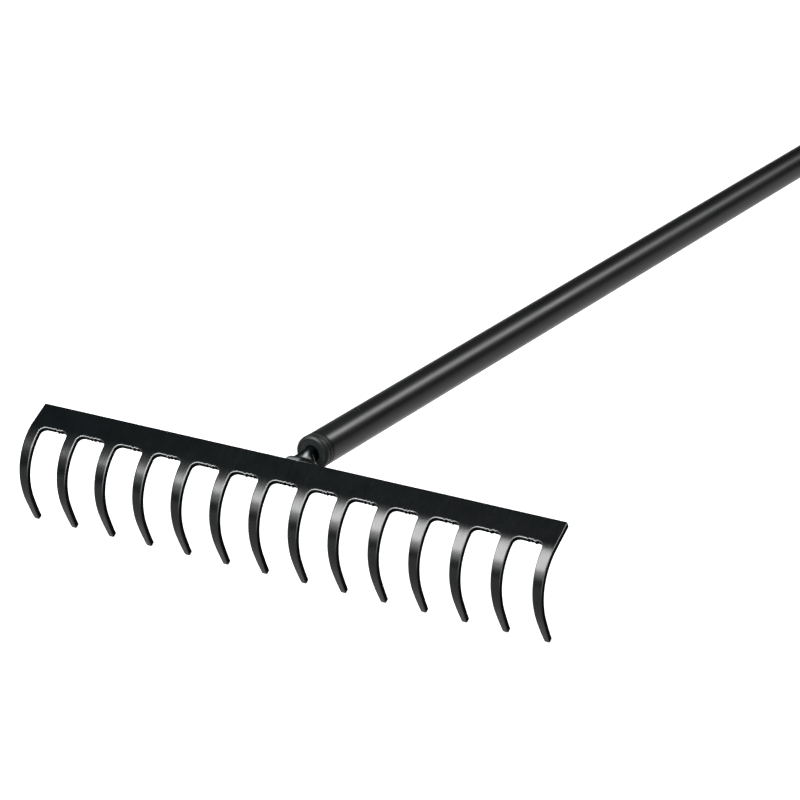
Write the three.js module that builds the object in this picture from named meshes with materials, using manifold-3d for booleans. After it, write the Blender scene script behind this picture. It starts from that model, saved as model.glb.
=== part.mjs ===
// Level-head garden rake: a steel head with fourteen curved tines, welded to a bent tang
// that a plastic collar and a cross rivet hold in a tubular steel handle.
// Millimetres, +Z up, +X along the head, +Y along the handle from the head to the far end.
// The parts are drawn with the handle's axis on Y and the collar's front face at y = 0,
// then the whole rake is laid on the ground: tine tips and end cap on z = 0.

import * as THREE from 'three';
import { mergeVertices } from 'three/addons/utils/BufferGeometryUtils.js';
import Module from 'manifold-3d';

// --- driving dimensions -----------------------------------------------------------------

const GAP = 0.3; // clearance kept between touching pieces

const TINES = 14;
const PITCH = 30;
const PLATE_HEIGHT = 18.6; // along the face, from the top edge to the roots of the tines
const PLATE_END_SLANT = 0.5; // each end of the top edge stops this much short of the end tines
const HEAD_THICKNESS = 4;
const TINE_ROOT_WIDTH = 8.4;
const TINE_TIP_WIDTH = 3.7;
const TINE_TAPER_POWER = 1.4; // above 1 keeps the tine wide and narrows it near the tip
const ROOT_FILLET = 4.5;

// Side view of the head's outer face: a flat plate, two bends, then a nearly straight point.
const PLATE_TOP = { y: -15.5, z: 0.65 };
const PLATE_SLOPE = 31; // degrees below the handle's axis
const PLATE_FLAT = 17.3;
const UPPER_BEND = { radius: 36.2, endSlope: 98.6 };
const LOWER_BEND = { radius: 48.3, endSlope: 115.7 };
const POINT = { radius: 200, endSlope: 121.1 };
const TIP_ALLOWANCE = 0.5; // extra length, ground off level where a square-cut tip meets the soil

const TUBE_RADIUS = 11.75; // at the collar
const TUBE_GRIP_RADIUS = 10.8;
const TUBE_TAPER_END = 700; // where the tube stops narrowing, behind the collar's front face
const TUBE_WALL = 1;
const TUBE_LENGTH = 1400;

const COLLAR_RADIUS = 11.9;
const COLLAR_LENGTH = 7.5;
const COLLAR_SPIGOT_END = 80;
const COLLAR_CHAMFER = 1.4;

const TANG_RADIUS = 5;
const TANG_REAR = 92; // how far the rod reaches into the handle
const TANG_NECK_BEND = 12;
const TANG_FOOT_THICKNESS = 4.4;
const TANG_FOOT_LENGTH = 13.5;
const TANG_FOOT_HALF_WIDTH = 13;
const TANG_BLEND = 13; // path length over which the round neck flattens into the foot

const WELD_HALF_WIDTH = 12;
// Side view of the top bead: how far each corner lies behind and above the plate's top edge.
const WELD_CORNERS = [[-0.4, 0.9], [1.5, -6], [8.5, -3.5], [7.2, -0.4], [3.6, 0.9]];
const WELD_SIDE_SIZE = 2.3;
const WELD_SIDE_OFFSET = 1; // from the foot's side to the middle of the bead beside it
const WELD_SIDE_START = 3; // past the start of the foot
const WELD_SIDE_STOP = 0.6; // short of the end of the foot
const WELD_END_SHARE = 0.75; // size of a bead's ends beside the size of its middle

const RIVET_PLACE = 56; // behind the collar's front face
const RIVET_RADIUS = 1.7;
const RIVET_HEAD_RADIUS = 2.6;
const RIVET_HEAD_HEIGHT = 0.7;
const RIVET_HEAD_ROUND = 0.3; // share of the head's radius and height that its rounded edge takes

const CAP_RADIUS = 12.6;
const CAP_SLEEVE = 38;
const CAP_WALL = 4;
const CAP_LIP = 0.6;
const CAP_BEVEL = 2;
const TONGUE_LENGTH = 26;
const TONGUE_HALF_WIDTH = 9.5;
const TONGUE_THICKNESS = 7;
const HANG_HOLE_RADIUS = 5;

const ROUND_SIDES = 40;
const GROUND_BLOCK = { width: 1000, length: 400, depth: 100 }; // takes off what lies below ground

// --- solids and boolean cuts ------------------------------------------------------------

const wasm = await Module();
wasm.setup();

function solidOf(geometry) {
  const bare = geometry.clone();
  bare.deleteAttribute('normal');
  bare.deleteAttribute('uv');
  const merged = mergeVertices(bare, 1e-4);
  return new wasm.Manifold(new wasm.Mesh({
    numProp: 3,
    vertProperties: new Float32Array(merged.attributes.position.array),
    triVerts: new Uint32Array(merged.index.array),
  }));
}

function geometryOf(solid) {
  const mesh = solid.getMesh();
  const geometry = new THREE.BufferGeometry();
  geometry.setAttribute('position', new THREE.BufferAttribute(mesh.vertProperties, 3));
  geometry.setIndex(new THREE.BufferAttribute(mesh.triVerts, 1));
  geometry.computeVertexNormals();
  return geometry;
}

function cut(geometry, ...tools) {
  let solid = solidOf(geometry);
  for (const tool of tools) {
    solid = solid.subtract(solidOf(tool));
  }
  return geometryOf(solid);
}

function join(...geometries) {
  return geometryOf(geometries.map(solidOf).reduce((whole, next) => whole.add(next)));
}

// --- bent lines in the YZ plane -----------------------------------------------------------

const radians = THREE.MathUtils.degToRad;

// A line made of straights and arcs. It starts at start, heading towards -Y, with its slope
// measured downwards; each run is { length } or { radius, endSlope }. The result gives, at
// any distance s along it, the point and the slope there, and holds the distances of the
// joints between the runs.
function bentLine(start, startSlope, runs) {
  const joints = [{ s: 0, y: start.y, z: start.z, slope: radians(startSlope), radius: Infinity }];
  for (const run of runs) {
    const from = joints.at(-1);
    from.radius = run.radius ?? Infinity;
    const endSlope = run.radius ? radians(run.endSlope) : from.slope;
    const length = run.length ?? run.radius * (endSlope - from.slope);
    joints.push({ s: from.s + length, ...pointAfter(from, length), radius: Infinity });
  }
  function pointAfter(from, length) {
    if (from.radius === Infinity) {
      return {
        y: from.y - Math.cos(from.slope) * length,
        z: from.z - Math.sin(from.slope) * length,
        slope: from.slope,
      };
    }
    const slope = from.slope + length / from.radius;
    return {
      y: from.y - from.radius * (Math.sin(slope) - Math.sin(from.slope)),
      z: from.z + from.radius * (Math.cos(slope) - Math.cos(from.slope)),
      slope,
    };
  }
  function at(s) {
    const from = joints.findLast((joint) => joint.s <= s) ?? joints[0];
    return pointAfter(from, s - from.s);
  }
  return { at, breaks: joints.map((joint) => joint.s), length: joints.at(-1).s };
}

// Evenly spaced distances from one value to another, both included.
function spread(from, to, steps) {
  return Array.from({ length: steps + 1 }, (_, i) => from + ((to - from) * i) / steps);
}

// A box bent along a line. sidesAt(s) gives its left and right x; nearFace and farFace are
// its two faces' distances below the line, measured square to it.
function bentBar(line, stations, sidesAt, nearFace, farFace) {
  const last = stations.length - 1;
  const geometry = new THREE.BoxGeometry(1, 1, 1, 1, 1, last);
  const place = geometry.attributes.position;
  for (let i = 0; i < place.count; i += 1) {
    const s = stations[Math.round((place.getZ(i) + 0.5) * last)];
    const [left, right] = sidesAt(s);
    const depth = place.getY(i) < 0 ? farFace : nearFace;
    const { y, z, slope } = line.at(s);
    place.setXYZ(
      i,
      place.getX(i) < 0 ? left : right,
      y + depth * Math.sin(slope),
      z - depth * Math.cos(slope),
    );
  }
  return geometry;
}

// A round bar drawn along a line and squashed as it goes: sectionAt(s) gives its half width,
// its half thickness and how square it is (1 round, towards 0 square).
function drawnBar(line, stations, sectionAt, centreX = () => 0) {
  const last = stations.length - 1;
  const geometry = new THREE.CylinderGeometry(1, 1, 1, ROUND_SIDES, last);
  const place = geometry.attributes.position;
  const squared = (value, power) => Math.sign(value) * Math.abs(value) ** power;
  for (let i = 0; i < place.count; i += 1) {
    const s = stations[Math.round((place.getY(i) + 0.5) * last)];
    const { halfWidth, halfThickness, roundness } = sectionAt(s);
    const across = halfWidth * squared(place.getX(i), roundness);
    const down = halfThickness * squared(place.getZ(i), roundness);
    const { y, z, slope } = line.at(s);
    place.setXYZ(
      i,
      centreX(s) + across,
      y + down * Math.sin(slope),
      z - down * Math.cos(slope),
    );
  }
  return geometry;
}

// A shape turned about the handle's axis, from its outline as pairs of radius and y.
function lathed(points, sides = ROUND_SIDES) {
  return new THREE.LatheGeometry(points.map(([r, y]) => new THREE.Vector2(r, y)), sides);
}

// An upright round peg of the given radius between two heights, at a distance y.
function uprightPeg(radius, y, bottom, top, sides = 24) {
  const peg = new THREE.CylinderGeometry(radius, radius, top - bottom, sides);
  peg.rotateX(Math.PI / 2);
  peg.translate(0, y, (top + bottom) / 2);
  return peg;
}

// --- the head ----------------------------------------------------------------------------

const faceLine = bentLine(PLATE_TOP, PLATE_SLOPE, [
  { length: PLATE_FLAT },
  UPPER_BEND,
  LOWER_BEND,
  POINT,
]);
const END_TINE = ((TINES - 1) / 2) * PITCH;

function tineHalfWidth(s) {
  const along = Math.max(0, (s - PLATE_HEIGHT) / (faceLine.length - PLATE_HEIGHT));
  return (TINE_ROOT_WIDTH - (TINE_ROOT_WIDTH - TINE_TIP_WIDTH) * along ** TINE_TAPER_POWER) / 2;
}

// The blank's ends slant out from the top edge to the roots, then follow the end tines.
function blankSides(s) {
  const shortfall = PLATE_END_SLANT * Math.max(0, 1 - s / PLATE_HEIGHT);
  const half = END_TINE + tineHalfWidth(s) - shortfall;
  return [-half, half];
}

// The gap between two tines, closed at its root by a quarter round on each side.
function gapSides(centre) {
  return (s) => {
    const rise = THREE.MathUtils.clamp(PLATE_HEIGHT + ROOT_FILLET - s, 0, ROOT_FILLET);
    const fillet = ROOT_FILLET - Math.sqrt(ROOT_FILLET ** 2 - rise ** 2);
    const half = PITCH / 2 - tineHalfWidth(s) - fillet;
    return [centre - half, centre + half];
  };
}

function rakeHead() {
  const [, bend, lowerBend, point, end] = faceLine.breaks;
  const stations = [
    0,
    ...spread(bend, lowerBend, 10),
    ...spread(lowerBend, point, 3).slice(1),
    ...spread(point, end, 3).slice(1),
    end + TIP_ALLOWANCE,
  ];
  const blank = bentBar(faceLine, stations, blankSides, 0, HEAD_THICKNESS);
  const filletEnd = PLATE_HEIGHT + ROOT_FILLET;
  const gapStations = [
    ...spread(0, 1, 5).map((u) => filletEnd - ROOT_FILLET * Math.cos((u * Math.PI) / 2)),
    ...spread(filletEnd, point, 9).slice(1),
    ...spread(point, end, 3).slice(1),
    end + 2 * TIP_ALLOWANCE,
  ];
  const gaps = [];
  for (let i = 0; i < TINES - 1; i += 1) {
    const centre = (i + 1) * PITCH - END_TINE - PITCH / 2;
    gaps.push(bentBar(faceLine, gapStations, gapSides(centre), -3, HEAD_THICKNESS + 3));
  }
  return cut(blank, ...gaps);
}

// The slab of steel that the plate fills, with clearance all round it, for cutting the
// pieces that lie against it.
function plateAndClearance() {
  const half = 3 * PITCH;
  return bentBar(faceLine, [-GAP, PLATE_FLAT], () => [-half, half], -GAP, HEAD_THICKNESS + GAP);
}

// --- the tang and its welds ----------------------------------------------------------------

// The foot's middle line runs under the plate; the neck's bend is tangent to it and to the
// handle's axis.
const footDepth = HEAD_THICKNESS + GAP + TANG_FOOT_THICKNESS / 2;
const slope = radians(PLATE_SLOPE);
const footTop = {
  y: PLATE_TOP.y + footDepth * Math.sin(slope),
  z: PLATE_TOP.z - footDepth * Math.cos(slope),
};
const bendCorner = footTop.y - footTop.z / Math.tan(slope);
const bendReach = TANG_NECK_BEND * Math.tan(slope / 2);
const neckStart = bendCorner + bendReach;
const footApproach = -footTop.z / Math.sin(slope) - bendReach;
const tangLine = bentLine({ y: TANG_REAR, z: 0 }, 0, [
  { length: TANG_REAR - neckStart },
  { radius: TANG_NECK_BEND, endSlope: PLATE_SLOPE },
  { length: footApproach + TANG_FOOT_LENGTH },
]);
const FOOT_END = tangLine.length;
const FOOT_START = FOOT_END - TANG_FOOT_LENGTH;
const BLEND_START = FOOT_START - TANG_BLEND;

function tangSection(grow = 0) {
  return (s) => {
    const blend = THREE.MathUtils.smoothstep(s, BLEND_START, FOOT_START - 1);
    const flare = THREE.MathUtils.smoothstep(s, BLEND_START + 1, FOOT_START + 1);
    return {
      halfWidth: THREE.MathUtils.lerp(TANG_RADIUS, TANG_FOOT_HALF_WIDTH, flare) + grow,
      halfThickness: THREE.MathUtils.lerp(TANG_RADIUS, TANG_FOOT_THICKNESS / 2, blend) + grow,
      roundness: THREE.MathUtils.lerp(1, 0.45, blend),
    };
  };
}

function tangBar(grow) {
  const stations = [0, BLEND_START, ...spread(BLEND_START, FOOT_START, 9).slice(1), FOOT_END];
  stations.splice(-1, 0, (FOOT_START + FOOT_END) / 2);
  stations[0] -= grow;
  stations[stations.length - 1] += grow;
  return drawnBar(tangLine, stations, tangSection(grow));
}

function tang() {
  const hole = uprightPeg(RIVET_RADIUS + GAP, RIVET_PLACE, -TANG_RADIUS * 2, TANG_RADIUS * 2);
  return cut(tangBar(0), hole);
}

// The bead that fills the corner between the plate's top edge and the neck.
function topWeld() {
  const outline = new THREE.Shape(WELD_CORNERS.map(
    ([behind, above]) => new THREE.Vector2(PLATE_TOP.y + behind, PLATE_TOP.z + above),
  ));
  const bead = new THREE.ExtrudeGeometry(outline, {
    depth: 2 * WELD_HALF_WIDTH,
    bevelEnabled: false,
  });
  // The outline's first axis becomes Y and its second Z, so the bead runs along X.
  bead.applyMatrix4(new THREE.Matrix4().set(
    0, 0, 1, -WELD_HALF_WIDTH,
    1, 0, 0, 0,
    0, 1, 0, 0,
    0, 0, 0, 1,
  ));
  return largestPiece(cut(bead, tangBar(GAP), plateAndClearance()));
}

// The bead along one side of the foot, under the plate.
function sideWeld(side) {
  const stations = spread(FOOT_START + WELD_SIDE_START, FOOT_END - WELD_SIDE_STOP, 6);
  const middle = (s) => side * (tangSection()(s).halfWidth + WELD_SIDE_OFFSET);
  const section = (s) => {
    const along = (s - stations[0]) / (stations.at(-1) - stations[0]);
    const size = WELD_SIDE_SIZE * THREE.MathUtils.lerp(WELD_END_SHARE, 1, Math.sin(along * Math.PI));
    return { halfWidth: size, halfThickness: size, roundness: 1 };
  };
  const bead = drawnBar(tangLine, stations, section, middle);
  return largestPiece(cut(bead, tangBar(GAP), plateAndClearance()));
}

function largestPiece(geometry) {
  const pieces = solidOf(geometry).decompose();
  return geometryOf(pieces.reduce((best, piece) => (piece.volume() > best.volume() ? piece : best)));
}

// --- the collar, the handle and the rivet --------------------------------------------------

const BORE_RADIUS = TANG_RADIUS + GAP;
const TUBE_START = COLLAR_LENGTH + GAP;
const TUBE_END = TUBE_START + TUBE_LENGTH;

function tubeRadiusAt(y) {
  const along = THREE.MathUtils.clamp((y - TUBE_START) / (TUBE_TAPER_END - TUBE_START), 0, 1);
  return THREE.MathUtils.lerp(TUBE_RADIUS, TUBE_GRIP_RADIUS, along);
}

const SPIGOT_RADIUS = tubeRadiusAt(COLLAR_SPIGOT_END) - TUBE_WALL - GAP;

function frontCollar() {
  const body = lathed([
    [BORE_RADIUS, 0],
    [COLLAR_RADIUS - COLLAR_CHAMFER, 0],
    [COLLAR_RADIUS - COLLAR_CHAMFER * 0.3, COLLAR_CHAMFER * 0.3],
    [COLLAR_RADIUS, COLLAR_CHAMFER],
    [COLLAR_RADIUS, COLLAR_LENGTH],
    [SPIGOT_RADIUS, COLLAR_LENGTH],
    [SPIGOT_RADIUS, COLLAR_SPIGOT_END],
    [BORE_RADIUS, COLLAR_SPIGOT_END],
    [BORE_RADIUS, 0],
  ]);
  const pinHole = uprightPeg(RIVET_RADIUS + GAP, RIVET_PLACE, -CAP_RADIUS, CAP_RADIUS);
  return cut(body, pinHole);
}

function handleTube() {
  const body = lathed([
    [TUBE_RADIUS - TUBE_WALL, TUBE_START],
    [TUBE_RADIUS, TUBE_START],
    [TUBE_GRIP_RADIUS, TUBE_TAPER_END],
    [TUBE_GRIP_RADIUS, TUBE_END],
    [TUBE_GRIP_RADIUS - TUBE_WALL, TUBE_END],
    [TUBE_GRIP_RADIUS - TUBE_WALL, TUBE_TAPER_END],
    [TUBE_RADIUS - TUBE_WALL, TUBE_START],
  ]);
  const pinHole = uprightPeg(RIVET_RADIUS + GAP, RIVET_PLACE, -CAP_RADIUS, CAP_RADIUS);
  return cut(body, pinHole);
}

function collarRivet() {
  const seat = tubeRadiusAt(RIVET_PLACE) + GAP;
  const crown = seat + RIVET_HEAD_HEIGHT;
  const flat = RIVET_HEAD_RADIUS * (1 - RIVET_HEAD_ROUND);
  const shoulder = crown - RIVET_HEAD_HEIGHT * RIVET_HEAD_ROUND;
  const rivet = lathed([
    [0, -crown],
    [flat, -shoulder],
    [RIVET_HEAD_RADIUS, -seat],
    [RIVET_RADIUS, -seat],
    [RIVET_RADIUS, seat],
    [RIVET_HEAD_RADIUS, seat],
    [flat, shoulder],
    [0, crown],
  ], 24);
  rivet.rotateX(Math.PI / 2);
  rivet.translate(0, RIVET_PLACE, 0);
  return rivet;
}

// --- the end cap ---------------------------------------------------------------------------

const CAP_BACK = TUBE_END + GAP + CAP_WALL;

function endCap() {
  const sleeveStart = CAP_BACK - CAP_SLEEVE;
  const tubeSeat = TUBE_GRIP_RADIUS + GAP;
  const sleeve = lathed([
    [tubeSeat, sleeveStart],
    [CAP_RADIUS - CAP_LIP, sleeveStart],
    [CAP_RADIUS, sleeveStart + CAP_LIP],
    [CAP_RADIUS, CAP_BACK - CAP_BEVEL],
    [CAP_RADIUS - CAP_BEVEL, CAP_BACK],
    [0, CAP_BACK],
    [0, CAP_BACK - CAP_WALL],
    [tubeSeat, CAP_BACK - CAP_WALL],
    [tubeSeat, sleeveStart],
  ]);
  const holeY = CAP_BACK + TONGUE_LENGTH - TONGUE_HALF_WIDTH;
  const outline = new THREE.Shape();
  outline.moveTo(-TONGUE_HALF_WIDTH, CAP_BACK - CAP_WALL / 2);
  outline.lineTo(TONGUE_HALF_WIDTH, CAP_BACK - CAP_WALL / 2);
  outline.lineTo(TONGUE_HALF_WIDTH, holeY);
  outline.absarc(0, holeY, TONGUE_HALF_WIDTH, 0, Math.PI, false);
  outline.lineTo(-TONGUE_HALF_WIDTH, CAP_BACK - CAP_WALL / 2);
  const tongue = new THREE.ExtrudeGeometry(outline, {
    depth: TONGUE_THICKNESS,
    bevelEnabled: false,
    curveSegments: 16,
  });
  tongue.translate(0, 0, -TONGUE_THICKNESS / 2);
  const hole = uprightPeg(HANG_HOLE_RADIUS, holeY, -CAP_RADIUS, CAP_RADIUS, 32);
  return cut(join(sleeve, tongue), hole);
}

// --- assembly --------------------------------------------------------------------------------

const blackPaint = { color: 0x232526, roughness: 0.42, metalness: 0.3 };
const blackPlastic = { color: 0x2a2c2c, roughness: 0.5, metalness: 0 };
const blackTube = { color: 0x1f2121, roughness: 0.35, metalness: 0.3 };
const darkRivet = { color: 0x303234, roughness: 0.4, metalness: 0.6 };

function piece(name, geometry, look) {
  const mesh = new THREE.Mesh(geometry, new THREE.MeshStandardMaterial(look));
  mesh.name = name;
  return mesh;
}

const head = new THREE.Group();
head.add(
  piece('rake_head', rakeHead(), blackPaint),
  piece('tang', tang(), blackPaint),
  piece('weld_top', topWeld(), blackPaint),
  piece('weld_left', sideWeld(-1), blackPaint),
  piece('weld_right', sideWeld(1), blackPaint),
);

const handle = new THREE.Group();
handle.add(
  piece('front_collar', frontCollar(), blackPlastic),
  piece('collar_rivet', collarRivet(), darkRivet),
  piece('handle_tube', handleTube(), blackTube),
  piece('end_cap', endCap(), blackPlastic),
);

// The ground touches the tine tips and the lower rim of the end cap.
const tip = faceLine.at(faceLine.length);
const rim = { y: CAP_BACK - CAP_BEVEL, z: -CAP_RADIUS };
const layAngle = Math.atan2(rim.z - tip.z, rim.y - tip.y);

const rake = new THREE.Group();
rake.add(head, handle);
rake.rotation.x = -layAngle;

// The tips are ground flat where they meet the ground, and the origin is put under the
// middle of the rake's outer box.
rake.updateMatrixWorld(true);
const groundHeight = new THREE.Vector3(0, rim.y, rim.z).applyMatrix4(rake.matrixWorld).z;
const headMesh = head.children[0];
const ground = new THREE.BoxGeometry(GROUND_BLOCK.width, GROUND_BLOCK.length, GROUND_BLOCK.depth);
ground.translate(0, 0, groundHeight - GROUND_BLOCK.depth / 2);
ground.applyMatrix4(rake.matrixWorld.clone().invert());
headMesh.geometry = cut(headMesh.geometry, ground);

const box = new THREE.Box3().setFromObject(rake, true);
const middle = box.getCenter(new THREE.Vector3());
rake.position.set(-middle.x, -middle.y, -groundHeight);

const whole = new THREE.Group();
whole.add(rake);

export default whole;
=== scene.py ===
import math

import bmesh
import bpy
import numpy as np
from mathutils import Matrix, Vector


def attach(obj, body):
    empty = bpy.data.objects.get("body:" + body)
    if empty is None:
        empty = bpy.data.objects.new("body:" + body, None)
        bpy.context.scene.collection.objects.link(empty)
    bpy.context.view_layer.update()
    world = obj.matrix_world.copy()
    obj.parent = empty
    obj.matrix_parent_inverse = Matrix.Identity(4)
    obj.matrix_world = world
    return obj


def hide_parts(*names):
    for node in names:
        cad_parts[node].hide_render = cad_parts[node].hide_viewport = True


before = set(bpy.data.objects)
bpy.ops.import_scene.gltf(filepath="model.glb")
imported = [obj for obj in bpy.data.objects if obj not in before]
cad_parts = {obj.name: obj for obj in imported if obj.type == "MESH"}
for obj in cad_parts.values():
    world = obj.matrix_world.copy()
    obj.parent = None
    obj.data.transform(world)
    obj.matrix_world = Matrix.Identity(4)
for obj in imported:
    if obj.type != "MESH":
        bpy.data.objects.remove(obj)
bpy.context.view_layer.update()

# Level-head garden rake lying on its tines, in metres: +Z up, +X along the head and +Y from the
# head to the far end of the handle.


# --- the studio -------------------------------------------------------------------------------
# A white light table, a soft box beyond the handle's far end and to its right, and one at the
# front left that puts the sheen on the bent shoulders of the tines. A dim one under that lets
# the sheen fade down the tines.

camera = bpy.data.objects.new("camera", bpy.data.cameras.new("camera"))
bpy.context.scene.collection.objects.link(camera)
bpy.context.scene.camera = camera
camera.location = (1.51117, -3.01931, 1.30425)
camera.rotation_euler = (math.radians(66.6841), math.radians(1.3983), math.radians(31.2101))
camera.data.sensor_width = 36
camera.data.lens = 211.56
camera.data.clip_end = 50


def soft_box(name, place, target, width, height, watts):
    """A rectangular lamp at a place, facing a target."""
    lamp = bpy.data.lights.new(name, "AREA")
    lamp.shape = "RECTANGLE"
    lamp.size = width
    lamp.size_y = height
    lamp.energy = watts
    box = bpy.data.objects.new(name, lamp)
    box.location = place
    box.rotation_euler = (Vector(target) - Vector(place)).to_track_quat("-Z", "Y").to_euler()
    bpy.context.scene.collection.objects.link(box)


TUBE_SPOT = (0.0, -0.5, 0.05)
TINE_SPOT = (0.15, -0.73, 0.05)
soft_box("back_box", (0.80, 1.6, 1.72), TUBE_SPOT, 0.75, 0.9, 72)
soft_box("front_box", (-0.25, -1.26, 0.75), TINE_SPOT, 0.50, 0.66, 68)
soft_box("low_box", (-0.28, -1.48, 0.44), TINE_SPOT, 0.50, 0.35, 8)

room = bpy.data.worlds.new("room")
room.use_nodes = True
room.node_tree.nodes["Background"].inputs["Color"].default_value = (0.95, 0.98, 1.0, 1.0)
room.node_tree.nodes["Background"].inputs["Strength"].default_value = 0.06
bpy.context.scene.world = room
bpy.context.scene.view_settings.view_transform = "Standard"


class Wire:
    """A number or colour on its way through a material. Sums, differences and products add Math
    nodes."""

    def __init__(self, tree, socket=None):
        self.tree = tree
        self.socket = socket

    def node(self, kind, settings, sockets, output=0):
        """Adds any other node: its settings first, then the values or wires of its sockets."""
        made = self.tree.nodes.new(kind)
        for setting, value in settings.items():
            setattr(made, setting, value)
        for name, value in sockets.items():
            if isinstance(value, Wire):
                self.tree.links.new(value.socket, made.inputs[name])
            else:
                made.inputs[name].default_value = value
        return Wire(self.tree, made.outputs[output] if made.outputs else None)

    def math(self, operation, *terms):
        return self.node("ShaderNodeMath", {"operation": operation}, dict(enumerate(terms)))

    def between(self, low, high):
        """0 below low, 1 above high and a straight rise from one to the other."""
        return self.node(
            "ShaderNodeMapRange", {"clamp": True}, {"Value": self, "From Min": low, "From Max": high}
        )

    def tint(self, low, high):
        """A colour that goes from low to high as the wire goes from 0 to 1."""
        return self.node("ShaderNodeMix", {"data_type": "RGBA"}, {0: self, 6: low, 7: high}, 2)

    def __add__(self, other):
        return self.math("ADD", self, other)

    def __sub__(self, other):
        return self.math("SUBTRACT", self, other)

    def __rsub__(self, other):
        return self.math("SUBTRACT", other, self)

    def __mul__(self, other):
        return self.math("MULTIPLY", self, other)

    __radd__ = __add__
    __rmul__ = __mul__


def new_finish(name):
    """An empty material and the wire that its recipe starts from."""
    material = bpy.data.materials.new(name)
    material.use_nodes = True
    material.node_tree.nodes.clear()
    return material, Wire(material.node_tree)


def close_finish(start, sockets):
    """Ends a recipe with a Principled surface that takes these sockets."""
    shader = start.node("ShaderNodeBsdfPrincipled", {}, sockets)
    start.node("ShaderNodeOutputMaterial", {}, {"Surface": shader})


MERGE_WITHIN = 2e-6


def skin(name, grids, marks=None, coats=None):
    """One mesh from grids of points. A grid is an array of rows by columns by three, and its quads
    take their corners from neighbouring rows and columns. Points that meet are merged, so grids
    that share their edges close into one skin. marks has, for each named attribute, an array per
    grid; coats has, per grid, one material number or an array with a number for each quad."""
    sizes = [grid.shape[:2] for grid in grids]
    starts = np.cumsum([0] + [rows * columns for rows, columns in sizes])
    faces = []
    for (rows, columns), first in zip(sizes, starts):
        corner = first + np.arange(rows * columns).reshape(rows, columns)
        quads = np.stack([corner[:-1, :-1], corner[1:, :-1], corner[1:, 1:], corner[:-1, 1:]], axis=-1)
        faces.append(quads.reshape(-1, 4))
    mesh = bpy.data.meshes.new(name)
    points = np.concatenate([grid.reshape(-1, 3) for grid in grids])
    mesh.from_pydata(points.tolist(), [], np.concatenate(faces).tolist())
    for mark, arrays in (marks or {}).items():
        values = np.concatenate([np.ravel(array) for array in arrays]).astype(np.float32)
        mesh.attributes.new(mark, "FLOAT", "POINT").data.foreach_set("value", values)
    if coats:
        quad_shapes = [(rows - 1, columns - 1) for rows, columns in sizes]
        numbers = [np.broadcast_to(coat, shape).ravel() for coat, shape in zip(coats, quad_shapes)]
        mesh.polygons.foreach_set("material_index", np.concatenate(numbers).astype(np.int32))
    build = bmesh.new()
    build.from_mesh(mesh)
    bmesh.ops.remove_doubles(build, verts=build.verts, dist=MERGE_WITHIN)
    bmesh.ops.recalc_face_normals(build, faces=build.faces)
    build.to_mesh(mesh)
    build.free()
    mesh.polygons.foreach_set("use_smooth", np.ones(len(mesh.polygons), bool))
    piece = bpy.data.objects.new(name, mesh)
    bpy.context.scene.collection.objects.link(piece)
    return piece


TABLE_HALF = 6.0
TABLE_POINTS = 13
TABLE_TOP = -0.0004

span = np.linspace(-TABLE_HALF, TABLE_HALF, TABLE_POINTS)
table_x, table_y = np.meshgrid(span, span, indexing="ij")
table = skin("table", [np.stack([table_x, table_y, 0 * table_x + TABLE_TOP], axis=-1)])
white_table, start = new_finish("white_table")
place = start.node("ShaderNodeTexCoord", {}, {}, "Object")
mottle = start.node("ShaderNodeTexNoise", {}, {"Vector": place, "Scale": 3.0, "Detail": 2.0})
close_finish(start, {
    "Base Color": (0.16, 0.16, 0.16, 1.0),
    "Roughness": 0.7 + mottle * 0.1,
    "Specular IOR Level": 0.1,
    "Emission Color": (1.0, 1.0, 1.0, 1.0),
    "Emission Strength": 1.0,
})
table.data.materials.append(white_table)


# --- rake head --------------------------------------------------------------------------------
# One 4 mm steel blank, sheared along its gaps and bent on a former: a flat plate, then fourteen
# tines that turn down and back. The shears leave small scallops along the gap roots.

TINES = 14
PITCH = 0.030
PLATE_HEIGHT = 0.0186
PLATE_END_SLANT = 0.0005
HEAD_THICKNESS = 0.004
TINE_ROOT_WIDTH = 0.00834
TINE_TIP_WIDTH = 0.0037
TINE_TAPER_POWER = 1.4
ROOT_FILLET = 0.0045
PLATE_TOP = (-0.0155, 0.00065)
PLATE_SLOPE = math.radians(31)
PLATE_FLAT = 0.0173
TINE_BENDS = (
    (0.0362, math.radians(98.6)),
    (0.0483, math.radians(115.7)),
    (0.2, math.radians(121.1)),
)
TIP_ALLOWANCE = 0.0005
TIP_REGION = 0.004
ARRIS = 0.0005
RIGHT_CORNER = 0.0013
LEFT_CORNER = 0.0005
SCALLOP = 0.0011

# The rake is drawn with the handle's axis on Y and the collar's front face at y = 0, then
# pitched down onto the ground.
LAY_ANGLE = 0.0431756
LAY_Y = -0.69367175
LAY_Z = 0.07345129

lay_cos = math.cos(LAY_ANGLE)
lay_sin = math.sin(LAY_ANGLE)


def laid(x, y, z):
    """Turns points about X by the lay angle and shifts them to where the rake lies."""
    x, y, z = np.broadcast_arrays(x, y, z)
    along = lay_cos * y + lay_sin * z + LAY_Y
    up = lay_cos * z - lay_sin * y + LAY_Z
    return np.stack([x, along, up], axis=-1)


def bent_line(distance, start, slope, straight, bends):
    """Points along a line in the YZ plane that heads towards -Y and turns down: a straight, then
    arcs, then a straight. An arc adds its radius times the change in the slope's sine (back) and
    cosine (down). Also gives the slope at each point."""
    back = np.minimum(distance, straight) * math.cos(slope)
    down = np.minimum(distance, straight) * math.sin(slope)
    turned = np.full(np.shape(distance), slope)
    travelled = straight
    for radius, end in bends:
        length = radius * (end - slope)
        here = slope + np.clip(distance - travelled, 0, length) / radius
        back = back + radius * (np.sin(here) - math.sin(slope))
        down = down + radius * (math.cos(slope) - np.cos(here))
        turned = turned + here - slope
        travelled += length
        slope = end
    rest = np.maximum(distance - travelled, 0)
    return start[0] - back - rest * math.cos(slope), start[1] - down - rest * math.sin(slope), turned


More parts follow.
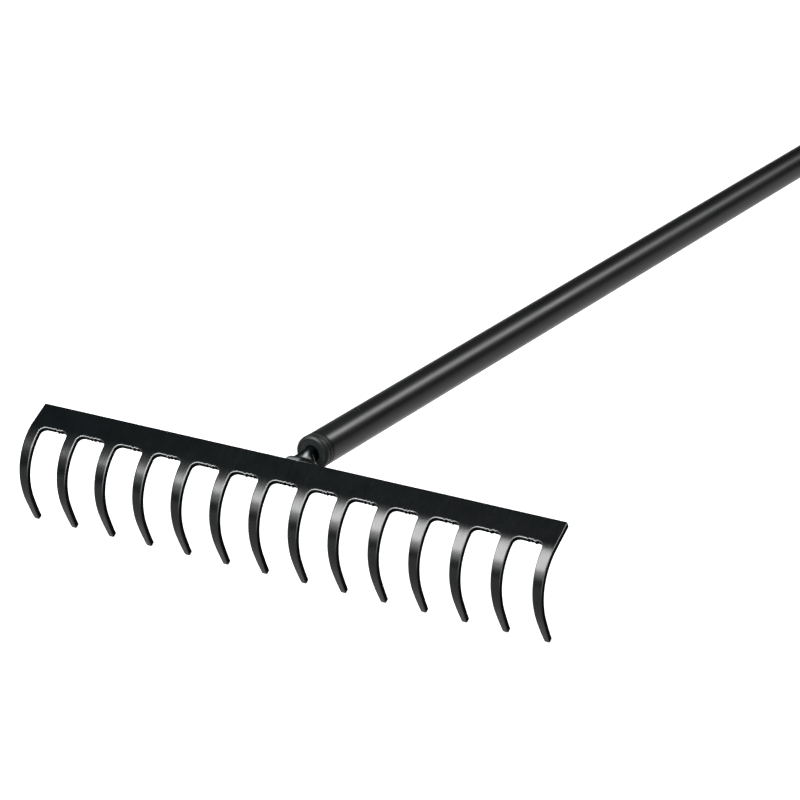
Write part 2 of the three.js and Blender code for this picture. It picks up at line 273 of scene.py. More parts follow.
def tine_half_width(down):
    """Half the root width, less a share that grows as a power of the way down to the tip."""
    along = np.maximum(0, (down - PLATE_HEIGHT) / (tine_length - PLATE_HEIGHT))
    return (TINE_ROOT_WIDTH - (TINE_ROOT_WIDTH - TINE_TIP_WIDTH) * along**TINE_TAPER_POWER) / 2


bend_starts = (PLATE_SLOPE, TINE_BENDS[0][1], TINE_BENDS[1][1])
bend_lengths = [radius * (end - begin) for (radius, end), begin in zip(TINE_BENDS, bend_starts)]
tine_length = PLATE_FLAT + sum(bend_lengths)
ground_slope = TINE_BENDS[-1][1] - LAY_ANGLE
ground_lag = -1 / math.tan(ground_slope)


def head_surface(flat, depth):
    """Points of the blank, across and down its face, at a depth: bent, then laid. At its end a
    tine reaches further down with depth, level with the ground, until it meets the square cut."""
    end = np.clip(1 - (tine_length - flat[..., 1]) / TIP_REGION, 0, 1)
    lag = end * np.minimum(ground_lag * depth, TIP_ALLOWANCE)
    y, z, slope = bent_line(flat[..., 1] + lag, PLATE_TOP, PLATE_SLOPE, PLATE_FLAT, TINE_BENDS)
    return laid(flat[..., 0], y + depth * np.sin(slope), z - depth * np.cos(slope))


SIDE_ROWS = 46
FILLET_ROWS = 8
TINE_COLUMNS = 12
CORNER_STEPS = 3
ROOT_COLUMNS = 34
PLATE_ROWS = 14
PLATE_CORNER_STEPS = 4

# Rows down a tine: the quarter round of the fillet, then even steps to the tip's corner.
turn = np.linspace(math.pi / 2, 0, FILLET_ROWS + 1)
steps = np.linspace(0, 1, SIDE_ROWS + 1)[1:]
fillet_down = PLATE_HEIGHT + ROOT_FILLET * (1 - np.sin(turn))
below_fillet = fillet_down[-1] + (tine_length - ARRIS - fillet_down[-1]) * steps
side_down = np.concatenate([fillet_down, below_fillet])
side_fillet = np.concatenate([ROOT_FILLET * (1 - np.cos(turn)), np.zeros(SIDE_ROWS)])

# Across the tip: a corner's quarter round, the straight end, a quarter round.
tip_half = tine_half_width(side_down[-1])
quarter = np.linspace(0, math.pi / 2, CORNER_STEPS + 1)
corner_x = (tip_half - ARRIS * (1 - np.cos(quarter)))[:-1]
corner_down = (side_down[-1] + ARRIS * np.sin(quarter))[:-1]
straight_half = tip_half - ARRIS
straight_x = np.linspace(straight_half, -straight_half, TINE_COLUMNS + 1 - 2 * CORNER_STEPS)
straight_down = np.full(len(straight_x), tine_length)
tip_x = np.concatenate([corner_x, straight_x, -corner_x[::-1]])
tip_down = np.concatenate([corner_down, straight_down, corner_down[::-1]])

tine_centre = (np.arange(TINES) - (TINES - 1) / 2) * PITCH
half_width = tine_half_width(side_down)
left_x = tine_centre[:, None] - half_width - side_fillet
right_x = tine_centre[:, None] + half_width + side_fillet
left_x[0] += side_fillet
right_x[-1] -= side_fillet

# The gap roots: straight beside one tine, then scalloped up to the next. The scallops are the
# size of a sine with some three bites across the root, and slower sines, shifted from gap to
# gap, make the bites uneven in length and depth.
SCALLOPS_START = 0.28
SCALLOPS_RISE = 0.12
SCALLOPS_FALL = 0.06
BITES_START = 0.3
BITES = 3.2

gap = np.arange(TINES - 1)[:, None]
share = np.linspace(0, 1, ROOT_COLUMNS + 1)[1:-1]
root_x = right_x[:-1, :1] + (left_x[1:, :1] - right_x[:-1, :1]) * share
rising = np.clip((share - SCALLOPS_START) / SCALLOPS_RISE, 0, 1)
falling = np.clip((1 - share) / SCALLOPS_FALL, 0, 1)
scalloped = rising * falling
bites = BITES + 0.4 * np.sin(2.1 * gap)
bitten = (share - BITES_START) / (1 - BITES_START)
phase = math.pi * bites * bitten + 0.5 * np.sin(5.0 * gap + 7.0 * share)
ragged = np.abs(np.sin(phase)) * (0.7 + 0.3 * np.sin(11.0 * share + 3.0 * gap))
root_down = PLATE_HEIGHT + SCALLOP * scalloped * (ragged - 0.35)

# The outline, once round: each tine's left side, tip and right side with the root after it,
# then the plate's right end, its top edge and its left end. With it goes the strength of a painted
# highlight on the arris, from 0 to 1, which lightens the colour: strongest at the gap roots, down
# the right side of each tine fading out towards the tip, and on the plate's right end.
ARRIS_GLINT_END = 0.058
ARRIS_GLINT_FADE = 0.03

outline = []
arris_glint = []
for i in range(TINES):
    outline.append(np.stack([left_x[i], side_down], axis=-1))
    arris_glint.append(np.full(len(side_down), 0.1))
    outline.append(np.stack([tine_centre[i] - tip_x, tip_down], axis=-1)[1:-1])
    arris_glint.append(np.full(len(tip_x) - 2, 0.15))
    outline.append(np.stack([right_x[i], side_down], axis=-1)[::-1])
    arris_glint.append(np.clip((ARRIS_GLINT_END - side_down[::-1]) / ARRIS_GLINT_FADE, 0.03, 1))
    if i < TINES - 1:
        outline.append(np.stack([root_x[i], root_down[i]], axis=-1))
        arris_glint.append(0.75 + 0.25 * ragged[i])

columns = TINES * (TINE_COLUMNS + 1) + (TINES - 1) * (ROOT_COLUMNS - 1)
top_half = right_x[-1, 0] - PLATE_END_SLANT
bend = np.linspace(0, math.pi / 2, PLATE_CORNER_STEPS + 1)
corner = np.stack([1 - np.cos(bend), 1 - np.sin(bend)], axis=-1)
left_arc = (-top_half, 0) + LEFT_CORNER * corner
right_arc = (top_half, 0) + RIGHT_CORNER * corner * (-1, 1)
top_line = np.linspace(left_arc[-1], right_arc[-1], columns - 2 * PLATE_CORNER_STEPS)[1:-1]
top_edge = np.concatenate([left_arc, top_line, right_arc[::-1]])
even_rows = np.linspace(0, 1, PLATE_ROWS + 1)
plate_rows = (even_rows - 0.06 * np.sin(2 * math.pi * even_rows))[:, None]
right_end = top_edge[-1] + (outline[-1][-1] - top_edge[-1]) * plate_rows
left_end = top_edge[0] + (outline[0][0] - top_edge[0]) * plate_rows
outline += [right_end[::-1][1:-1], top_edge[::-1], left_end[1:-1]]
arris_glint += [np.full(PLATE_ROWS - 1, 0.8), np.full(columns, 0.02), np.full(PLATE_ROWS - 1, 0.1)]
run_ends = np.cumsum([len(run) for run in outline])[:-1]
outline = np.concatenate(outline)
arris_glint = np.concatenate(arris_glint)

# Into the metal is square to the line between a point's two neighbours on the outline.
ahead = np.roll(outline, -1, axis=0) - np.roll(outline, 1, axis=0)
ahead /= np.linalg.norm(ahead, axis=1)[:, None]
inward = np.stack([ahead[:, 1], -ahead[:, 0]], axis=-1)
inner = outline + ARRIS * inward
runs = np.split(inner, run_ends)

# The face, short of the arris: a grid down each tine, and one for the plate whose last row is
# the first row of every tine with the gap roots between them.
across = np.linspace(0, 1, TINE_COLUMNS + 1)[:, None]
face_grids = []
plate_last = []
for i in range(TINES):
    left, tip, right = runs[4 * i], runs[4 * i + 1], runs[4 * i + 2][::-1]
    rows = left[:, None] + (right - left)[:, None] * across
    rows[-1] = np.concatenate([left[-1:], tip, right[-1:]])
    face_grids.append(rows)
    plate_last += [rows[0]] + ([runs[4 * i + 3]] if i < TINES - 1 else [])
plate_first = runs[-2][::-1]
plate = plate_first + (np.concatenate(plate_last) - plate_first) * plate_rows[:, :, None]
plate[1:-1, -1] = runs[-3][::-1]
plate[1:-1, 0] = runs[-1]
face_grids.append(plate)

# The rim: a quarter round, the sheared wall and a quarter round, carried along the outline. The
# plate's top edge is dull all the way across.
ROUND_STEPS = 4
WALL_STEPS = 4
arc = np.linspace(0, math.pi / 2, ROUND_STEPS + 1)
wall = np.linspace(ARRIS, HEAD_THICKNESS - ARRIS, WALL_STEPS + 1)[1:-1]
inset = ARRIS * (1 - np.sin(arc))
drop = ARRIS * (1 - np.cos(arc))
rim_in = np.concatenate([inset, 0 * wall, drop])
rim_deep = np.concatenate([drop, wall, HEAD_THICKNESS - inset])
rim = outline[:, None] + rim_in[:, None] * inward[:, None]
rim[:, 0] = inner
rim[:, -1] = inner
rim = np.concatenate([rim, rim[:1]])
arris_glint = np.concatenate([arris_glint, arris_glint[:1]])
# Painted highlight: full on the front quarter round, faint on the back one, scaled by the arris
# strength above.
painted_highlight = arris_glint[:, None] * np.concatenate([np.sin(2 * arc), 0 * wall, 0.15 * np.sin(2 * arc)])
is_wall = np.zeros((len(outline), 2 * ROUND_STEPS + WALL_STEPS), int)
is_wall[:, ROUND_STEPS:-ROUND_STEPS] = 1
is_wall[run_ends[-2]:run_ends[-1]] = 1

head_grids = [head_surface(grid, 0.0) for grid in face_grids]
head_grids += [head_surface(grid[:, ::-1], HEAD_THICKNESS) for grid in face_grids]
plain = [np.zeros(grid.shape[:2]) for grid in head_grids]
head_grids.append(head_surface(rim, rim_deep))
rake_head = skin("head", head_grids, {"painted_highlight": plain + [painted_highlight]}, [0] * len(plain) + [is_wall])


def black_enamel(name, dark, light, gloss, peel, sheen, drawn):
    """Stoved black enamel: fine orange peel over long drawing marks, uneven in gloss, and lightened
    towards grey, a painted highlight, where the per-point highlight mark says so. dark and light are
    its two shades, gloss its roughness, peel the depth of its relief, and drawn how far the drawing
    marks are stretched."""
    material, start = new_finish(name)
    place = start.node("ShaderNodeTexCoord", {}, {}, "Object")
    stretch = {"Vector": place, "Rotation": (0.3, 0.0, 0.45), "Scale": drawn}
    along = start.node("ShaderNodeMapping", {}, stretch)
    marks = start.node("ShaderNodeTexNoise", {}, {"Vector": along, "Scale": 700.0, "Detail": 3.0})
    blotch = start.node("ShaderNodeTexNoise", {}, {"Vector": place, "Scale": 55.0, "Detail": 4.0})
    fine = start.node("ShaderNodeTexNoise", {}, {"Vector": place, "Scale": 1500.0, "Detail": 2.0})
    # The per-point highlight mark is a painted highlight: it blends the base colour up to a third of
    # the way to light grey.
    painted_highlight = start.node("ShaderNodeAttribute", {"attribute_name": "painted_highlight"}, {}, "Fac")
    height = marks * 0.15 + fine * 0.5 + blotch * 0.5
    relief = {"Height": height, "Distance": peel, "Strength": 0.5}
    close_finish(start, {
        "Base Color": (painted_highlight * 0.34).tint(blotch.tint(dark, light), (0.28, 0.29, 0.29, 1.0)),
        "Roughness": gloss + (marks - 0.5) * 0.1 + (blotch - 0.5) * 0.05,
        "Normal": start.node("ShaderNodeBump", {}, relief),
        "Specular IOR Level": sheen,
    })
    return material


HEAD_BLACK = (0.0002, 0.0004, 0.0005, 1.0)
HEAD_GREY = (0.0006, 0.0009, 0.001, 1.0)
WALL_BLACK = (0.0015, 0.0018, 0.0018, 1.0)
WALL_GREY = (0.004, 0.0045, 0.0045, 1.0)

head_enamel = black_enamel(
    "head_enamel", HEAD_BLACK, HEAD_GREY,
    gloss=0.25, peel=0.00006, sheen=0.11, drawn=(1.0, 0.15, 0.3),
)
sheared_wall = black_enamel(
    "sheared_wall", WALL_BLACK, WALL_GREY,
    gloss=0.6, peel=0.0003, sheen=0.0, drawn=(1.0, 0.4, 1.0),
)
rake_head.data.materials.append(head_enamel)
rake_head.data.materials.append(sheared_wall)
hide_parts("rake_head")
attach(rake_head, "root")


# --- tang -------------------------------------------------------------------------------------
# A 10 mm steel rod. It runs inside the handle, comes out of the collar, bends down and is
# hammered out into a fishtail foot under the plate.

TANG_RADIUS = 0.005
TANG_REAR = 0.092
TANG_BEND = 0.012
FOOT_THICKNESS = 0.0044
FOOT_LENGTH = 0.0135
FOOT_HALF_WIDTH = 0.013
FOOT_BLEND = 0.013
FOOT_CLEARANCE = 0.0003
NECK_GLINT_PLACE = 0.0985
NECK_GLINT_LENGTH = 0.0017
NECK_GLINT_SIDE = 0.0008
NECK_GLINT_WIDTH = 0.0011

foot_depth = HEAD_THICKNESS + FOOT_CLEARANCE + FOOT_THICKNESS / 2
foot_top_z = PLATE_TOP[1] - foot_depth * math.cos(PLATE_SLOPE)
foot_top_y = PLATE_TOP[0] + foot_depth * math.sin(PLATE_SLOPE)
bend_reach = TANG_BEND * math.tan(PLATE_SLOPE / 2)
neck_start = foot_top_y - foot_top_z / math.tan(PLATE_SLOPE) + bend_reach
rod_length = TANG_REAR - neck_start
foot_start = rod_length + TANG_BEND * PLATE_SLOPE - foot_top_z / math.sin(PLATE_SLOPE) - bend_reach
foot_end = foot_start + FOOT_LENGTH


def eased(value, low, high):
    """A smooth step from 0 at low to 1 at high: three times the square less twice the cube."""
    share = np.clip((value - low) / (high - low), 0, 1)
    return share * share * (3 - 2 * share)


def tang_size(distance):
    """Half width, half thickness and the power that rounds the section: 1 makes the rod's ellipse,
    and a smaller one the foot's nearly square sides."""
    flat = eased(distance, foot_start - FOOT_BLEND, foot_start - 0.001)
    wide = eased(distance, foot_start - FOOT_BLEND + 0.001, foot_start + 0.001)
    half_width = TANG_RADIUS + (FOOT_HALF_WIDTH - TANG_RADIUS) * wide
    half_thickness = TANG_RADIUS + (FOOT_THICKNESS / 2 - TANG_RADIUS) * flat
    return half_width, half_thickness, 1 - 0.55 * flat


def along_tang(distance, x, deep):
    """Points beside the tang's line, one row per distance along it: x across and deep square to
    the line, so back by its slope's sine and down by its slope's cosine."""
    y, z, slope = bent_line(distance, (TANG_REAR, 0.0), 0.0, rod_length, ((TANG_BEND, PLATE_SLOPE),))
    back = deep * np.sin(slope)[:, None]
    down = deep * np.cos(slope)[:, None]
    return laid(x, y[:, None] + back, z[:, None] - down)


def carried(distance, grow, sides):
    """Rings of a superellipse carried along the tang's line: across is the half width times a
    power of the cosine, and down the half thickness times the same power of the sine."""
    half_width, half_thickness, power = tang_size(distance)
    angle = np.linspace(0, 2 * math.pi, sides + 1)
    cosine, sine = np.cos(angle), np.sin(angle)
    x = (half_width * grow)[:, None] * np.sign(cosine) * np.abs(cosine) ** power[:, None]
    deep = (half_thickness * grow)[:, None] * np.sign(sine) * np.abs(sine) ** power[:, None]
    return along_tang(distance, x, deep)


# Rings along the tang. The first and last close to a point, and those beside them round the edge.
TANG_SIDES = 64
stations = np.concatenate([
    [0, 0, 0.0003, 0.0008, 0.03, 0.06],
    np.linspace(rod_length - 0.006, foot_start + 0.002, 40),
    [foot_end - 0.006, foot_end - 0.0006, foot_end - 0.0002, foot_end, foot_end],
])
grow = np.ones(len(stations))
grow[:3] = (0, 0.9, 0.97)
grow[-3:] = (0.99, 0.96, 0)
rings = carried(stations, grow, TANG_SIDES)

# A painted highlight streak on the upper half of the neck: a bell curve along it times one across it.
neck_glint_along = np.exp(-(((stations - NECK_GLINT_PLACE) / NECK_GLINT_LENGTH) ** 2))[:, None]
neck_glint_across = np.exp(-(((rings[..., 0] - NECK_GLINT_SIDE) / NECK_GLINT_WIDTH) ** 2))
is_upper = np.arange(TANG_SIDES + 1) > TANG_SIDES // 2
neck_glint = neck_glint_along * neck_glint_across * is_upper
tang = skin("tang_rod", [rings], {"painted_highlight": [neck_glint]})
tang_enamel = black_enamel(
    "tang_enamel", HEAD_BLACK, HEAD_GREY,
    gloss=0.26, peel=0.00012, sheen=0.05, drawn=(1.0, 0.4, 1.0),
)
tang.data.materials.append(tang_enamel)
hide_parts("tang")
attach(tang, "root")


# --- weld beads -------------------------------------------------------------------------------
# Three steel beads, enamelled with the head: one fills the corner between the plate's top edge
# and the fishtail, and one runs along each side of the foot under the plate.

BEAD_RINGS = 81
BEAD_SIDES = 28
TOP_BEAD_HALF_LENGTH = 0.0118
TOP_BEAD_HALF_WIDTH = 0.0040
TOP_BEAD_HALF_HEIGHT = 0.0027
TOP_BEAD_BEHIND = 0.0037
TOP_BEAD_BELOW = 0.0019
TOP_BEAD_SAG = 0.0004
TOP_BEAD_RIPPLE = 0.0021
BEAD_GLINT_START = -0.0112
BEAD_GLINT_FULL = -0.0095
SIDE_BEAD_RADIUS = 0.00207
SIDE_BEAD_RIPPLE = 0.0019
SIDE_BEAD_START = 0.003
SIDE_BEAD_SHORT = 0.0036
SIDE_BEAD_OUT = 0.0008
SIDE_BEAD_DOWN = 0.0002


def fish_scales(along, ripple):
    """The swell of a hand-run bead: the root of one less the square of a sawtooth's share, so
    each scale has a rounded back and a sharp step at its end."""
    tooth = along / ripple + 0.15 * np.sin(along * 900)
    return np.sqrt(np.clip(1 - (tooth - np.floor(tooth)) ** 2, 0.05, 1))


run = np.linspace(-1, 1, BEAD_RINGS)
round_end = np.sqrt(np.clip(1 - np.abs(run) ** 5, 0, 1))
angle = np.linspace(0, 2 * math.pi, BEAD_SIDES + 1)

# The top bead: an ellipse carried along X, behind the plate's top edge and a little below it.
bead_x = TOP_BEAD_HALF_LENGTH * run
swell = 0.86 + 0.14 * fish_scales(bead_x + 0.02, TOP_BEAD_RIPPLE)
size = (round_end * swell)[:, None]
middle_y = PLATE_TOP[0] + TOP_BEAD_BEHIND
middle_z = (PLATE_TOP[1] - TOP_BEAD_BELOW - TOP_BEAD_SAG * np.abs(run))[:, None]
rings = laid(
    bead_x[:, None],
    middle_y + TOP_BEAD_HALF_WIDTH * size * np.cos(angle),
    middle_z + TOP_BEAD_HALF_HEIGHT * size * np.sin(angle),
)

# Its front carries a painted highlight on the left half.
bead_glint_run = eased(-bead_x, -0.001, 0.001) * eased(bead_x, BEAD_GLINT_START, BEAD_GLINT_FULL)
bead_glint_run = bead_glint_run * (0.5 + 0.5 * swell)
bead_glint = 0.5 * bead_glint_run[:, None] * np.clip(-np.cos(angle), 0, 1)
top_bead = skin("top_bead", [rings], {"painted_highlight": [bead_glint]})
weld_enamel = black_enamel(
    "weld_enamel", (0.0005, 0.0007, 0.0008, 1.0), (0.0014, 0.0018, 0.0018, 1.0),
    gloss=0.3, peel=0.00025, sheen=0.09, drawn=(1.0, 1.0, 1.0),
)
top_bead.data.materials.append(weld_enamel)
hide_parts("weld_top")
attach(top_bead, "root")

# The side beads: a circle carried beside the foot.
beside_foot = foot_start + SIDE_BEAD_START + (FOOT_LENGTH - SIDE_BEAD_SHORT) * (run + 1) / 2
swell = 0.85 + 0.15 * fish_scales(beside_foot, SIDE_BEAD_RIPPLE)
size = (SIDE_BEAD_RADIUS * round_end * swell)[:, None]
for side, node in ((-1, "weld_left"), (1, "weld_right")):
    x = side * (FOOT_HALF_WIDTH + SIDE_BEAD_OUT + size * np.cos(angle))
    rings = along_tang(beside_foot, x, SIDE_BEAD_DOWN + size * np.sin(angle))
    bead = skin(node + "_bead", [rings])
    bead.data.materials.append(weld_enamel)
    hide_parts(node)
    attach(bead, "root")


# --- front collar -----------------------------------------------------------------------------
# A moulded black plastic plug that closes the handle's mouth: a chamfered flange with a fine
# ring turned in it, and a long spigot pressed into the tube, bored for the tang.

COLLAR_RADIUS = 0.0119
COLLAR_LENGTH = 0.0075
COLLAR_CHAMFER = 0.0014
FACE_RADIUS = COLLAR_RADIUS - COLLAR_CHAMFER
FACE_STEP = 0.0004
GROOVE_START = 0.0047
GROOVE_END = 0.0054
GROOVE_DEPTH = 0.0006
GROOVE_SLANT = 0.0001
BORE_RADIUS = 0.0053
SPIGOT_RADIUS = 0.01035
SPIGOT_END = 0.058
LATHE_SIDES = 96
EASING_STEPS = 5


def rounded(corners, easing):
    """An outline with softened corners: near each one the line slides from a little before it to
    a little after it, along the parabola that has the corner as its middle control point."""
    corners = np.array(corners)
    easing = np.array(easing)[:, None]
    to_last = np.roll(corners, 1, axis=0) - corners
    to_next = np.roll(corners, -1, axis=0) - corners
    before = corners + easing * to_last / np.linalg.norm(to_last, axis=1)[:, None]
    after = corners + easing * to_next / np.linalg.norm(to_next, axis=1)[:, None]
    t = np.linspace(0, 1, EASING_STEPS)[:, None]
    curve = (1 - t) ** 2 * before[:, None] + 2 * t * (1 - t) * corners[:, None] + t**2 * after[:, None]
    return curve.reshape(-1, 2)


def turned(outline):
    """Carries an outline of (radius, y) pairs round the handle's axis, as on a lathe."""
    angle = np.linspace(0, 2 * math.pi, LATHE_SIDES + 1)
    radius, along = outline[:, :1], outline[:, 1:]
    return laid(radius * np.cos(angle), along + 0 * angle, radius * np.sin(angle))


def closed(outline):
    """The outline with its first point again at the end."""
    return np.concatenate([outline, outline[:1]])


collar_outline = rounded(
    [
        (BORE_RADIUS, FACE_STEP),
        (FACE_RADIUS - 0.0011, FACE_STEP),
        (FACE_RADIUS - 0.0007, 0.0),
        (FACE_RADIUS, 0.0),
        (COLLAR_RADIUS, COLLAR_CHAMFER),
        (COLLAR_RADIUS, GROOVE_START),
        (COLLAR_RADIUS - GROOVE_DEPTH, GROOVE_START + GROOVE_SLANT),
        (COLLAR_RADIUS - GROOVE_DEPTH, GROOVE_END - GROOVE_SLANT),
        (COLLAR_RADIUS, GROOVE_END),
        (COLLAR_RADIUS, COLLAR_LENGTH),
        (SPIGOT_RADIUS, COLLAR_LENGTH),
        (SPIGOT_RADIUS, SPIGOT_END),
        (BORE_RADIUS, SPIGOT_END),
    ],
    [
        0.0006, 0.0001, 0.0001, 0.0003, 0.0005, 0.0001, 0.0001, 0.0001, 0.0001,
        0.0004, 0.0002, 0.0008, 0.0004,
    ],
)
collar = skin("collar_plug", [turned(closed(collar_outline))])


def moulded_plastic(name, dark, light, gloss):
    """Black moulded plastic: the fine pitted grain of a spark-eroded mould, slightly uneven."""
    material, start = new_finish(name)
    place = start.node("ShaderNodeTexCoord", {}, {}, "Object")
    grain = start.node("ShaderNodeTexNoise", {}, {"Vector": place, "Scale": 2600.0, "Detail": 2.0})
    cloud = start.node("ShaderNodeTexNoise", {}, {"Vector": place, "Scale": 120.0, "Detail": 3.0})
    pits = grain.between(0.42, 0.62)
    relief = {"Height": pits, "Distance": 0.00005, "Strength": 0.6}
    close_finish(start, {
        "Base Color": cloud.tint(dark, light),
        "Roughness": gloss + (cloud - 0.5) * 0.15 + pits * 0.08,
        "Normal": start.node("ShaderNodeBump", {}, relief),
        "Specular IOR Level": 0.09,
    })
    return material


collar_plastic = moulded_plastic(
    "collar_plastic", (0.0016, 0.0021, 0.0021, 1.0), (0.0032, 0.0038, 0.0038, 1.0), 0.42
)
collar.data.materials.append(collar_plastic)
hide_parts("front_collar")
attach(collar, "root")


# --- handle tube ------------------------------------------------------------------------------
# A thin-walled steel tube, 1.4 m long, drawn down from 23.5 mm at the head to 21.6 mm at the
# grip and enamelled satin black. Its mouth is rolled in slightly against the collar.

TUBE_RADIUS = 0.01175
GRIP_RADIUS = 0.0108
TUBE_START = 0.0078
TUBE_END = 1.4078
TAPER_END = 0.700
TUBE_WALL = 0.001
MOUTH_START = TUBE_START + 0.0004
MOUTH_LENGTH = 0.0030
MOUTH_ROLL = 0.00035
TUBE_RINGS = 60


def tube_radius(along):
    """The tube's radius on its narrowing part, which falls evenly from the mouth to the grip."""
    return TUBE_RADIUS + (GRIP_RADIUS - TUBE_RADIUS) * (along - TUBE_START) / (TAPER_END - TUBE_START)


tapered = np.linspace(TUBE_START + 0.004, TAPER_END, TUBE_RINGS)
parallel = np.linspace(TAPER_END, TUBE_END - 0.002, TUBE_RINGS)[1:]
mouth_step = np.linspace(0, 1, 6)
mouth_radius = TUBE_RADIUS - MOUTH_ROLL * (1 - mouth_step) ** 2
tube_outline = np.concatenate([
    [
        (TUBE_RADIUS - TUBE_WALL, TUBE_START),
        (TUBE_RADIUS - 0.0008, TUBE_START),
        (TUBE_RADIUS - 0.0005, TUBE_START + 0.0001),
    ],
    np.stack([mouth_radius, MOUTH_START + MOUTH_LENGTH * mouth_step], axis=-1),
    np.stack([tube_radius(tapered), tapered], axis=-1),
    np.stack([0 * parallel + GRIP_RADIUS, parallel], axis=-1),
    [
        (GRIP_RADIUS - 0.0002, TUBE_END - 0.0002),
        (GRIP_RADIUS - 0.0004, TUBE_END),
        (GRIP_RADIUS - TUBE_WALL, TUBE_END),
        (GRIP_RADIUS - TUBE_WALL, TAPER_END),
    ],
])
tube = skin("tube", [turned(closed(tube_outline))])
tube_enamel, start = new_finish("tube_enamel")
place = start.node("ShaderNodeTexCoord", {}, {}, "Object")
along = start.node("ShaderNodeMapping", {}, {"Vector": place, "Scale": (1.0, 0.03, 1.0)})
streaks = start.node("ShaderNodeTexNoise", {}, {"Vector": along, "Scale": 260.0, "Detail": 3.0})
peel = start.node("ShaderNodeTexNoise", {}, {"Vector": place, "Scale": 900.0, "Detail": 2.0})
cloud = start.node("ShaderNodeTexNoise", {}, {"Vector": place, "Scale": 14.0, "Detail": 4.0})
relief = {"Height": peel + streaks * 0.6, "Distance": 0.00004, "Strength": 0.5}
close_finish(start, {
    "Base Color": cloud.tint((0.0013, 0.0015, 0.0014, 1.0), (0.003, 0.0032, 0.0031, 1.0)),
    "Roughness": 0.36 + (streaks - 0.5) * 0.14 + (cloud - 0.5) * 0.1,
    "Normal": start.node("ShaderNodeBump", {}, relief),
    "Specular IOR Level": 0.11,
})
tube.data.materials.append(tube_enamel)
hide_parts("handle_tube")
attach(tube, "root")


# --- collar rivet -----------------------------------------------------------------------------
# A semi-tubular steel rivet through the tube, the collar's spigot and the tang, painted over
# with the handle. Each end is rolled over into a low rim round a dark dimple.

RIVET_PLACE = 0.056
RIVET_RADIUS = 0.0017
RIVET_HEAD = 0.0025
RIVET_RIM = 0.0019
DIMPLE_RADIUS = 0.0011
RIVET_SIDES = 48

seat = tube_radius(RIVET_PLACE)
end_outline = rounded(
    [
        (0.0, seat - 0.0014),
        (DIMPLE_RADIUS, seat - 0.0014),
        (DIMPLE_RADIUS + 0.0002, seat + 0.0004),
        (RIVET_RIM, seat + 0.0007),
        (RIVET_HEAD, seat + 0.0003),
        (RIVET_HEAD, seat - 0.0003),
        (RIVET_RADIUS, seat - 0.0006),
    ],
    [0.0, 0.0003, 0.0003, 0.0002, 0.0002, 0.0002, 0.0002],
)[EASING_STEPS - 1:]

# The outline is turned about an upright line, with its mirror image below for the lower end.
angle = np.linspace(0, 2 * math.pi, RIVET_SIDES + 1)
whole = np.concatenate([end_outline, (end_outline * (1, -1))[::-1]])
radius, height = whole[:, :1], whole[:, 1:]
rivet = skin("rivet", [laid(radius * np.cos(angle), RIVET_PLACE + radius * np.sin(angle), height)])
rivet_enamel = black_enamel(
    "rivet_enamel", (0.0012, 0.0016, 0.0016, 1.0), (0.003, 0.0035, 0.0035, 1.0),
    gloss=0.4, peel=0.00006, sheen=0.06, drawn=(1.0, 1.0, 1.0),
)
rivet.data.materials.append(rivet_enamel)
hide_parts("collar_rivet")
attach(rivet, "root")


# --- end cap ----------------------------------------------------------------------------------
# A moulded black plastic cap pushed over the tube's far end, with a flat tongue behind it that
# has a round hole to hang the rake by.

CAP_RADIUS = 0.0126
CAP_SEAT = 0.0111
CAP_BACK = 1.4121
CAP_START = CAP_BACK - 0.038
CAP_WALL = 0.004
TONGUE_HALF_WIDTH = 0.0095
TONGUE_HALF_THICKNESS = 0.0035
TONGUE_ROUND = 0.0011
TONGUE_LENGTH = 0.026
TONGUE_SUNK = 0.002
TONGUE_SIDES = 96
TONGUE_ROUND_STEPS = 5
HOLE_RADIUS = 0.005
HOLE_PLACE = CAP_BACK + TONGUE_LENGTH - TONGUE_HALF_WIDTH
CAP_GROOVE = 0.0003

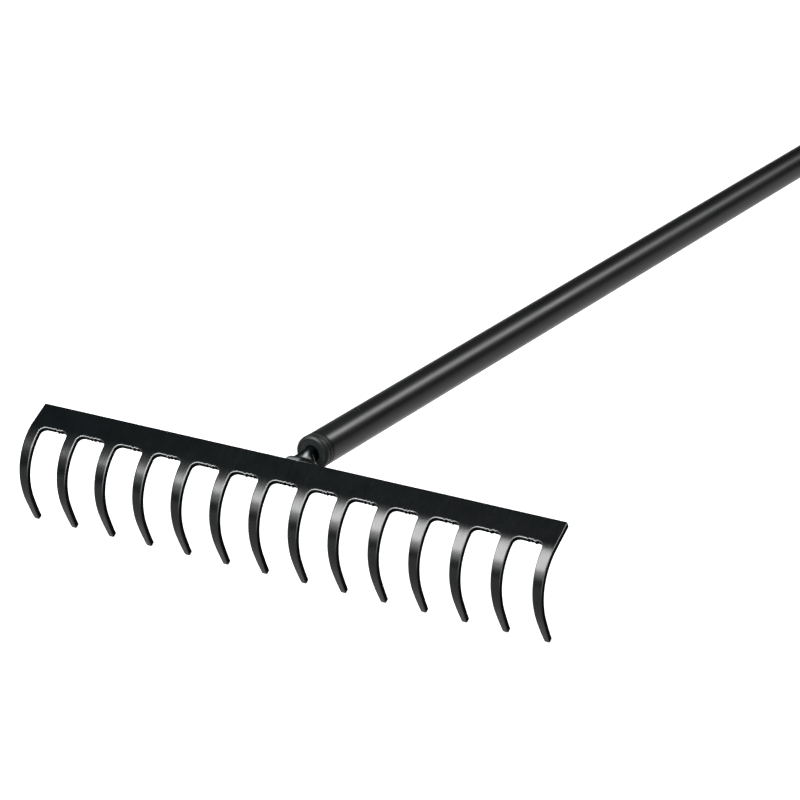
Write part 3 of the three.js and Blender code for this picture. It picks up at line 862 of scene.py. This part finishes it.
cap_outline = rounded(
    [
        (0.0, CAP_BACK - CAP_WALL),
        (CAP_SEAT, CAP_BACK - CAP_WALL),
        (CAP_SEAT, CAP_START),
        (CAP_RADIUS - 0.0006, CAP_START),
        (CAP_RADIUS, CAP_START + 0.0012),
        (CAP_RADIUS, CAP_START + 0.0052),
        (CAP_RADIUS - CAP_GROOVE, CAP_START + 0.0056),
        (CAP_RADIUS - CAP_GROOVE, CAP_START + 0.0066),
        (CAP_RADIUS, CAP_START + 0.0070),
        (CAP_RADIUS, CAP_BACK - 0.0018),
        (CAP_RADIUS - 0.0020, CAP_BACK),
        (0.0, CAP_BACK),
    ],
    [0.0, 0.0005, 0.0002, 0.0002, 0.0004, 0.0002, 0.0002, 0.0002, 0.0002, 0.0012, 0.0014, 0.0],
)

# The tongue is a section carried round its hole. The section's inner side keeps to the hole, and
# its outer side to the tongue's outline: a half circle, two straight sides, and a straight end
# sunk in the cap. Its four corners are quarter rounds.
angle = np.linspace(0, 2 * math.pi, TONGUE_SIDES + 1)[:, None]
sideways = TONGUE_HALF_WIDTH / np.maximum(np.abs(np.sin(angle)), 0.01)
inwards = (HOLE_PLACE - CAP_BACK + TONGUE_SUNK) / np.maximum(-np.cos(angle), 0.01)
reach = np.where(np.cos(angle) > 0, TONGUE_HALF_WIDTH, np.minimum(sideways, inwards))
quarter = np.linspace(0, math.pi / 2, TONGUE_ROUND_STEPS + 1)
inset = TONGUE_ROUND * (1 - np.cos(quarter))
rise = TONGUE_HALF_THICKNESS - TONGUE_ROUND * (1 - np.sin(quarter))
insets = np.concatenate([inset[::-1], inset, inset[::-1], inset, inset[-1:]])
heights = np.concatenate([-rise[::-1], rise, rise[::-1], -rise, -rise[-1:]])
on_outer = np.repeat((False, True, False), (2 * len(quarter), 2 * len(quarter), 1))
radius = np.where(on_outer, reach - insets, HOLE_RADIUS + insets)
tongue = laid(radius * np.sin(angle), HOLE_PLACE + radius * np.cos(angle), heights)
cap = skin("cap", [turned(cap_outline), tongue])
cap_plastic = moulded_plastic(
    "cap_plastic", (0.0016, 0.0019, 0.0019, 1.0), (0.0032, 0.0036, 0.0036, 1.0), 0.46
)
cap.data.materials.append(cap_plastic)
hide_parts("end_cap")
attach(cap, "root")
